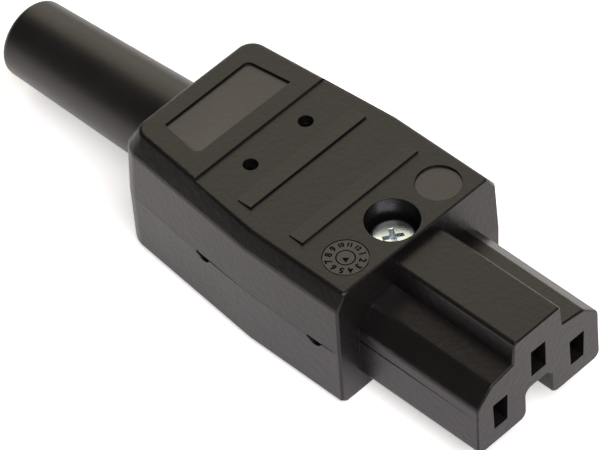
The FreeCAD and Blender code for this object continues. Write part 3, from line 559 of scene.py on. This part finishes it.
def roundTop(piece):
    # softer rounds along the front of the top, both borders of its side bevels and the steps across it
    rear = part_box("base_shell")[0].x
    deck = topHeight - shellFinish["deckDrop"]
    foot = topHeight - shellFinish["bevelDrop"]
    wallFront = max(point.co.x for point in piece.data.vertices if abs(point.co.z - deck) < hair)

    def level(height, *ends):
        return all(abs(end.z - height) < hair for end in ends)

    def frontEdge(first, second):
        return level(deck, first, second) and min(first.x, second.x) > wallFront - hair

    def acrossTop(first, second):
        across = abs(first.x - second.x) < hair and (first - second).length > shellFinish["longEdge"]
        onTop = level(topHeight, first, second) or level(deck, first, second)
        inField = rear + shellFinish["rearField"] < first.x < wallFront - shellFinish["frontField"]
        return across and onTop and inField

    def footBorder(edge, ends, normals):
        return level(foot, *ends) and any(onSlope(normal) for normal in normals)

    def topBorder(edge, ends, normals):
        joins = any(normal.z > shellFinish["flat"] for normal in normals) and any(map(onSlope, normals))
        behindFront = min(end.x for end in ends) < wallFront - shellFinish["slack"]
        return joins and behindFront and all(end.z > deck - hair for end in ends)

    for border in (footBorder, topBorder):
        pickCreases(piece, border)
        bpy.ops.mesh.bevel(offset=shellFinish["bevelRound"], segments=shellFinish["bevelSteps"],
                           affect="EDGES", clamp_overlap=False, loop_slide=False)
        objectMode()
    for wanted, offset, steps in ((frontEdge, shellFinish["frontRound"], shellFinish["frontSteps"]),
                                  (acrossTop, shellFinish["ridgeRound"], shellFinish["ridgeSteps"])):
        pickEdges(piece, wanted)
        bpy.ops.mesh.bevel(offset=offset, segments=steps, affect="EDGES", clamp_overlap=False)
        objectMode()


def polishCover(piece):
    # the mould's core pin and inserts leave the screw's recess and the marking fields smoother
    polished = addFinish(piece, polishedPlastic)
    marking = addFinish(piece, dialPlastic)
    plate = topHeight - shellFinish["plateDepth"]
    disc = topHeight - shellFinish["deckDrop"] - shellFinish["discSink"]
    for face in piece.data.polygons:
        across = Vector((face.center.x - screwMiddle.x, face.center.y - screwMiddle.y))
        inside = across.length < shellFinish["recessRadius"] + shellFinish["slack"]
        onPlate = abs(face.center.z - plate) < hair and face.center.x < shellFinish["plateFront"]
        onDisc = abs(face.center.z - disc) < hair
        if inside and face.center.z > shellFinish["recessFloor"]:
            face.material_index = polished
        elif face.normal.z > facing and (onPlate or onDisc):
            face.material_index = marking


shellEdges = (shellFinish["edge"], shellFinish["sharpAngle"], shellFinish["smoothAngle"])
baseHousing = copyNode("base_shell", "baseHousing")
drawInRim(baseHousing)
roundSharp(baseHousing, "base_shell", *shellEdges)
dress(baseHousing, housingPlastic, "base", "housing", "base_shell")
coverHousing = copyNode("cover_shell", "coverHousing")
bluntRidges(coverHousing)
simplifyCorners(coverHousing)
roundTop(coverHousing)
roundSharp(coverHousing, "cover_shell", *shellEdges)
dress(coverHousing, housingPlastic, "cover", "housing", "cover_shell")
polishCover(coverHousing)
print("housing halves:", len(baseHousing.data.polygons), len(coverHousing.data.polygons), "faces")

innerPieces = [
    {"node": "threaded_insert", "name": "threadedInsert", "edge": 0.1 * mm, "slot": "brass"},
    {"node": "live_contact", "name": "liveContact", "edge": 0.06 * mm, "slot": "brass"},
    {"node": "neutral_contact", "name": "neutralContact", "edge": 0.06 * mm, "slot": "brass"},
    {"node": "earth_contact", "name": "earthContact", "edge": 0.06 * mm, "slot": "brass"},
    {"node": "live_spring", "name": "liveSpring", "edge": 0.04 * mm, "slot": "spring_steel"},
    {"node": "neutral_spring", "name": "neutralSpring", "edge": 0.04 * mm, "slot": "spring_steel"},
    {"node": "earth_spring", "name": "earthSpring", "edge": 0.04 * mm, "slot": "spring_steel"},
    {"node": "live_terminal", "name": "liveTerminal", "edge": 0.06 * mm, "slot": "brass"},
    {"node": "neutral_terminal", "name": "neutralTerminal", "edge": 0.06 * mm, "slot": "brass"},
    {"node": "earth_terminal", "name": "earthTerminal", "edge": 0.06 * mm, "slot": "brass"},
    {"node": "terminal_screws", "name": "terminalScrews", "edge": 0.1 * mm, "slot": "zinc_steel"},
    {"node": "cord_clamp", "name": "cordClamp", "edge": 0.08 * mm, "slot": "clamp_plastic"},
    {"node": "cord_clamp_screws", "name": "cordClampScrews", "edge": 0.12 * mm, "slot": "zinc_steel"},
]
finishOf = {"brass": plainBrass, "spring_steel": springSteel, "zinc_steel": zincSteel,
            "clamp_plastic": clampPlastic}
bodies = frame["record"]["behaviour"]["bodies"]
bodyOf = {node: body for body, members in bodies.items() for node in members}
for entry in innerPieces:
    innerPiece = copyNode(entry["node"], entry["name"])
    roundSharp(innerPiece, entry["node"], entry["edge"])
    dress(innerPiece, finishOf[entry["slot"]], bodyOf[entry["node"]], entry["slot"], entry["node"])
print("inner pieces:", len(innerPieces))


# Bend sleeve, drawn upright from its collar and then laid along its own axis

sleeve = {
    "droop": 3.0, "axisDrop": 0.5 * mm, "wall": 2.2 * mm, "outside": 29.2 * mm,
    "collarRadius": 7.2 * mm, "collarLength": 3.0 * mm, "collarGap": 0.5 * mm,
    "rootRadius": 6.3 * mm, "tipRadius": 5.45 * mm, "boreRadius": 4.0 * mm, "sides": 112,
    "tipRound": 1.0 * mm, "tipSteps": 8, "lipRound": 0.35 * mm, "lipSteps": 4, "smoothAngle": 40,
}
ringSlack = {"height": 0.02 * mm, "radius": 0.04 * mm}


def ringAt(height, radius):
    def wanted(first, second):
        return all(abs(end.z - height) < ringSlack["height"]
                   and abs(math.hypot(end.x, end.y) - radius) < ringSlack["radius"]
                   for end in (first, second))
    return wanted


def capAt(height):
    return lambda face: abs(face.center.z - height) < hair and abs(face.normal.z) > facing


def makeSleeve():
    collarTop = -sleeve["collarGap"]
    collarLow = collarTop - sleeve["collarLength"]
    tip = sleeve["wall"] + sleeve["outside"]
    bore = sleeve["boreRadius"]
    bpy.ops.object.select_all(action="DESELECT")
    bpy.ops.mesh.primitive_cylinder_add(
        vertices=sleeve["sides"], radius=sleeve["collarRadius"], depth=sleeve["collarLength"],
        location=(0, 0, (collarTop + collarLow) / 2))
    piece = bpy.context.object
    piece.name = "bendSleeve"
    settle(piece)
    pickFaces(piece, capAt(collarTop))
    bpy.ops.mesh.inset(thickness=sleeve["collarRadius"] - sleeve["rootRadius"])
    extrudeUp(sleeve["wall"] - collarTop)
    extrudeUp(sleeve["outside"])
    narrow = sleeve["tipRadius"] / sleeve["rootRadius"]
    bpy.ops.transform.resize(value=(narrow, narrow, 1))
    bpy.ops.mesh.inset(thickness=sleeve["tipRadius"] - bore)
    objectMode()
    pickFaces(piece, capAt(collarLow))
    bpy.ops.mesh.inset(thickness=sleeve["collarRadius"] - bore)
    objectMode()
    pickFaces(piece, lambda face: abs(face.normal.z) > facing and len(face.vertices) == sleeve["sides"])
    bpy.ops.mesh.delete(type="FACE")
    objectMode()
    pickEdges(piece, lambda *ends: ringAt(tip, bore)(*ends) or ringAt(collarLow, bore)(*ends))
    bpy.ops.mesh.bridge_edge_loops()
    objectMode()
    pickEdges(piece, ringAt(tip, sleeve["tipRadius"]))
    bpy.ops.mesh.bevel(offset=sleeve["tipRound"], segments=sleeve["tipSteps"], affect="EDGES")
    objectMode()
    pickEdges(piece, ringAt(tip, bore))
    bpy.ops.mesh.bevel(offset=sleeve["lipRound"], segments=sleeve["lipSteps"], affect="EDGES")
    objectMode()
    piece.rotation_euler = Euler((0, math.radians(-90 - sleeve["droop"]), 0))
    piece.location = (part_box("base_shell")[0].x + sleeve["wall"], 0, seamHeight - sleeve["axisDrop"])
    settle(piece)
    editAll()
    bpy.ops.mesh.normals_make_consistent(inside=False)
    objectMode()
    shade(piece, sleeve["smoothAngle"])
    return piece


bendSleeve = makeSleeve()
dress(bendSleeve, sleeveRubber, "base", "sleeve_rubber", "bend_sleeve")
print("sleeve:", len(bendSleeve.data.polygons), "faces")


# Cover screw: domed head with a cross recess, plain neck and a cut thread

coverScrew = {
    "headRadius": 3.1 * mm, "headHeight": 2.2 * mm, "rise": 0.25 * mm, "crown": 0.5 * mm, "crownSteps": 7,
    "edge": 0.05 * mm, "edgeSteps": 2, "edgeAngle": 40, "smoothAngle": 35, "sides": 72, "turn": -32,
    "shankRadius": 1.28 * mm, "neck": 2.2 * mm, "point": 0.4 * mm, "pointTaper": 0.7,
    "armLength": 3.4 * mm, "armWidth": 0.8 * mm, "armDepth": 1.25 * mm, "armTaper": 0.62,
    "threadRadius": 1.5 * mm, "pitch": 0.5 * mm, "threadSteps": 36,
    "threadBody": 0.5,  # radius of the thread's triangle, as a share of the pitch
    "threadRoot": 1.3,  # its depth, as a multiple of what stands out of the shank
}


def makeCrossCutter(top):
    bpy.ops.object.select_all(action="DESELECT")
    arms = []
    length, width = coverScrew["armLength"], coverScrew["armWidth"]
    for size in ((length, width), (width, length)):
        bpy.ops.mesh.primitive_cube_add(size=1, location=(0, 0, top))
        arm = bpy.context.object
        arm.scale = (*size, 2 * coverScrew["armDepth"])
        settle(arm)
        pickFaces(arm, lambda face: face.normal.z < -facing)
        bpy.ops.transform.resize(value=(coverScrew["armTaper"], coverScrew["armTaper"], 1))
        objectMode()
        arms.append(arm)
    combine(arms[0], "crossing", "UNION", arms[1])
    return arms[0]


def makeScrewThread(low, high):
    bpy.ops.object.select_all(action="DESELECT")
    ridge = coverScrew["threadRadius"] - coverScrew["shankRadius"]
    bpy.ops.mesh.primitive_circle_add(vertices=3, radius=coverScrew["threadBody"] * coverScrew["pitch"],
                                      fill_type="NGON")
    thread = bpy.context.object
    thread.rotation_euler = Euler((math.radians(90), 0, 0))
    settle(thread)
    # the triangle's tip is turned outwards and its depth set from the ridge
    thread.rotation_euler = Euler((0, math.radians(90), 0))
    settle(thread)
    reach = [point.co.x for point in thread.data.vertices]
    thread.scale = (ridge * coverScrew["threadRoot"] / (max(reach) - min(reach)), 1, 1)
    settle(thread)
    edge = max(point.co.x for point in thread.data.vertices)
    thread.location = (coverScrew["threadRadius"] - edge, 0, low)
    settle(thread)
    turns = int((high - low) / coverScrew["pitch"])
    applyModifier(thread, "winding", "SCREW", axis="Z", screw_offset=coverScrew["pitch"],
                  iterations=turns, steps=coverScrew["threadSteps"],
                  render_steps=coverScrew["threadSteps"], use_merge_vertices=False)
    editAll()
    bpy.ops.mesh.remove_doubles(threshold=pieceWeld)
    bpy.ops.mesh.fill_holes(sides=3)
    bpy.ops.mesh.normals_make_consistent(inside=False)
    objectMode()
    return thread


def makeCoverScrew():
    low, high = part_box("cover_screw")
    seat = high.z - coverScrew["headHeight"]
    top = high.z + coverScrew["rise"]
    bpy.ops.object.select_all(action="DESELECT")
    bpy.ops.mesh.primitive_cylinder_add(
        vertices=coverScrew["sides"], radius=coverScrew["headRadius"], depth=top - seat,
        location=(0, 0, (top + seat) / 2))
    piece = bpy.context.object
    piece.name = "coverScrew"
    settle(piece)
    pickEdges(piece, ringAt(top, coverScrew["headRadius"]))
    bpy.ops.mesh.bevel(offset=coverScrew["crown"], segments=coverScrew["crownSteps"], affect="EDGES")
    objectMode()
    pickFaces(piece, lambda face: face.normal.z < -facing)
    bpy.ops.mesh.inset(thickness=coverScrew["headRadius"] - coverScrew["shankRadius"])
    extrudeUp(low.z + coverScrew["point"] - seat)
    extrudeUp(-coverScrew["point"])
    bpy.ops.transform.resize(value=(coverScrew["pointTaper"], coverScrew["pointTaper"], 1))
    objectMode()
    combine(piece, "crossRecess", "DIFFERENCE", makeCrossCutter(top))
    applyModifier(piece, "edgeRound", "BEVEL", width=coverScrew["edge"], segments=coverScrew["edgeSteps"],
                  limit_method="ANGLE", angle_limit=math.radians(coverScrew["edgeAngle"]),
                  use_clamp_overlap=False)
    thread = makeScrewThread(low.z + coverScrew["point"], seat - coverScrew["neck"])
    combine(piece, "thread", "UNION", thread)
    piece.rotation_euler = Euler((0, 0, math.radians(coverScrew["turn"])))
    piece.location = (screwMiddle.x, screwMiddle.y, 0)
    settle(piece)
    shade(piece, coverScrew["smoothAngle"])
    return piece


coverScrewPiece = makeCoverScrew()
dress(coverScrewPiece, zincSteel, "cover_screw", "zinc_steel", "cover_screw")
print("cover screw:", len(coverScrewPiece.data.polygons), "faces")


# Mould dial: a plate with a sunk ring of month numbers round an arrow, in the near disc of the cover

dial = {
    "side": -8.43 * mm, "radius": 2.88 * mm, "plate": 0.28 * mm, "sides": 64, "smoothAngle": 30,
    "months": 12, "numberRadius": 2.16 * mm, "numberSize": 1.25 * mm, "pairSize": 0.92 * mm,
    "pairSpacing": 0.9, "stroke": 0.05 * mm, "strokeSteps": 3, "engraved": 0.2 * mm,
    "ringRadius": 1.12 * mm, "ringWidth": 0.18 * mm,
    "arrow": 0.55 * mm, "arrowOut": 0.3 * mm, "arrowTurn": -45.0,
    "markReach": 0.99,  # share of the radius that holds all marks
}


def makeNumber(month, high):
    # a solid number that cuts its own shape, with its head towards the rim
    bpy.ops.object.select_all(action="DESELECT")
    bpy.ops.object.text_add()
    number = bpy.context.object
    number.data.body = str(month)
    number.data.size = dial["numberSize"] if month < 10 else dial["pairSize"]
    number.data.space_character = dial["pairSpacing"]
    number.data.align_x = "CENTER"
    number.data.align_y = "CENTER"
    number.data.offset = dial["stroke"]
    number.data.resolution_u = dial["strokeSteps"]
    number.data.extrude = dial["engraved"]
    bpy.ops.object.convert(target="MESH")
    number = bpy.context.object
    turn = math.radians(90 - 360 / dial["months"] * month)
    number.rotation_euler = Euler((0, 0, turn - math.radians(90)))
    number.location = (dial["numberRadius"] * math.cos(turn), dial["numberRadius"] * math.sin(turn), high)
    settle(number)
    editAll()
    bpy.ops.mesh.remove_doubles(threshold=pieceWeld)
    bpy.ops.mesh.normals_make_consistent(inside=False)
    objectMode()
    return number


def makeArrow(high):
    bpy.ops.object.select_all(action="DESELECT")
    bpy.ops.mesh.primitive_cylinder_add(vertices=3, radius=dial["arrow"], depth=2 * dial["engraved"],
                                        location=(0, 0, high))
    arrow = bpy.context.object
    turn = math.radians(dial["arrowTurn"])
    arrow.rotation_euler = Euler((0, 0, turn - math.radians(90)))  # its tip is drawn along y
    arrow.location += Vector((math.cos(turn), math.sin(turn), 0)) * dial["arrowOut"]
    settle(arrow)
    return arrow


def makeDial():
    bpy.ops.object.select_all(action="DESELECT")
    high = dial["plate"]
    bpy.ops.mesh.primitive_cylinder_add(vertices=dial["sides"], radius=dial["radius"], depth=high,
                                        location=(0, 0, high / 2))
    plate = bpy.context.object
    plate.name = "mouldDial"
    settle(plate)
    pickFaces(plate, lambda face: face.normal.z > facing)
    bpy.ops.mesh.inset(thickness=dial["radius"] - dial["ringRadius"] - dial["ringWidth"])
    bpy.ops.mesh.inset(thickness=dial["ringWidth"])
    objectMode()
    pickFaces(plate, lambda face: face.normal.z > facing and dial["ringRadius"] < face.center.xy.length
              < dial["ringRadius"] + dial["ringWidth"])
    extrudeUp(-dial["engraved"])
    objectMode()
    cutters = [makeNumber(month + 1, high) for month in range(dial["months"])]
    cutters.append(makeArrow(high))
    for cutter in cutters:
        combine(plate, "engraving", "DIFFERENCE", cutter)
    addFinish(plate, dialPlastic)
    # the engraved numbers, ring and arrow take the painted shade finish
    sunk = addFinish(plate, sunkShadePlastic)
    for face in plate.data.polygons:
        within = face.center.xy.length < dial["radius"] * dial["markReach"]
        if within and hair < face.center.z < high - hair:
            face.material_index = sunk
    plate.location = (screwMiddle.x, dial["side"],
                      topHeight - shellFinish["deckDrop"] - shellFinish["discSink"])
    settle(plate)
    shade(plate, dial["smoothAngle"])
    cutFaces(plate)
    return plate


mouldDial = makeDial()
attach(mouldDial, "cover")
print("dial:", len(mouldDial.data.polygons), "faces")


# Floor, light and camera

studio = {
    "floorSize": 6.0, "floorDrop": 0.01 * mm, "floorGrain": 60.0, "floorRoughness": 0.8, "floorGlow": 0.5,
    "floorColour": (0.93, 0.925, 0.92), "floorMottle": (0.91, 0.905, 0.9),
    "worldColour": (1.0, 0.96, 0.97), "worldStrength": 0.08,
}


def makeFloor():
    bpy.ops.object.select_all(action="DESELECT")
    bpy.ops.mesh.primitive_plane_add(size=studio["floorSize"], location=(0, 0, -studio["floorDrop"]))
    floor = bpy.context.object
    floor.name = "studioFloor"
    material, tree, shader, coords = newMaterial("paleFloor")
    grain = placeGroup(tree, mouldGrain, coords, Scale=studio["floorGrain"])
    tone = blendColour(tree, grain["Tone"], studio["floorMottle"], studio["floorColour"])
    tree.links.new(tone, shader.inputs["Base Color"])
    shader.inputs["Roughness"].default_value = studio["floorRoughness"]
    tree.links.new(tone, shader.inputs["Emission Color"])
    shader.inputs["Emission Strength"].default_value = studio["floorGlow"]  # a table lit from below
    addFinish(floor, material)


softboxes = [
    {"name": "upperBox", "place": (0.78, -0.3, 1.25), "aim": (0, 0, 0), "size": (1.3, 1.3),
     "power": 30.0, "colour": (1.0, 0.945, 0.955)},
    {"name": "rearBox", "place": (-0.46, 0.45, 0.47), "aim": (0, 0, 0.01), "size": (0.6, 0.8),
     "power": 2.75, "colour": (1.0, 0.985, 0.765)},
]


def makeLights():
    world = bpy.data.worlds.new("studioWorld")
    world.use_nodes = True
    background = world.node_tree.nodes["Background"]
    background.inputs["Color"].default_value = (*studio["worldColour"], 1.0)
    background.inputs["Strength"].default_value = studio["worldStrength"]
    bpy.context.scene.world = world
    for box in softboxes:
        bpy.ops.object.light_add(type="AREA", location=box["place"])
        light = bpy.context.object
        light.name = box["name"]
        light.data.energy = box["power"]
        light.data.shape = "RECTANGLE"
        light.data.size, light.data.size_y = box["size"]
        light.data.color = box["colour"]
        aim = Vector(box["aim"]) - Vector(box["place"])
        light.rotation_euler = aim.to_track_quat("-Z", "Y").to_euler()


cameraView = {
    "azimuth": 47.066, "elevation": 47.588, "roll": -4.082, "lensPixels": 5919.6, "imageWidth": 600,
    "sensor": 36.0, "clipStart": 10.0 * mm,
    "distance": 744.137 * mm, "across": -15.288 * mm, "up": 9.399 * mm,
    "target": Vector((25.495 * mm, 0, 8.0 * mm)),  # middle of the nose's root, level with its lower slots
}


def makeCamera():
    turn = math.radians(cameraView["azimuth"])
    lift = math.radians(cameraView["elevation"])
    roll = math.radians(cameraView["roll"])
    back = Vector((math.sin(turn) * math.cos(lift), -math.cos(turn) * math.cos(lift), math.sin(lift)))
    level = Vector((math.cos(turn), math.sin(turn), 0))
    upright = back.cross(level)
    right = level * math.cos(roll) + upright * math.sin(roll)
    up = upright * math.cos(roll) - level * math.sin(roll)
    eye = (cameraView["target"] + right * cameraView["across"] + up * cameraView["up"]
           + back * cameraView["distance"])
    bpy.ops.object.camera_add(location=eye)
    camera = bpy.context.object
    camera.matrix_world = Matrix.Translation(eye) @ Matrix((right, up, back)).transposed().to_4x4()
    camera.data.sensor_width = cameraView["sensor"]
    camera.data.lens = cameraView["lensPixels"] / cameraView["imageWidth"] * cameraView["sensor"]
    camera.data.clip_start = cameraView["clipStart"]
    bpy.context.scene.camera = camera


makeFloor()
makeLights()
makeCamera()
bpy.context.scene.view_settings.view_transform = "Standard"
print("studio ready")
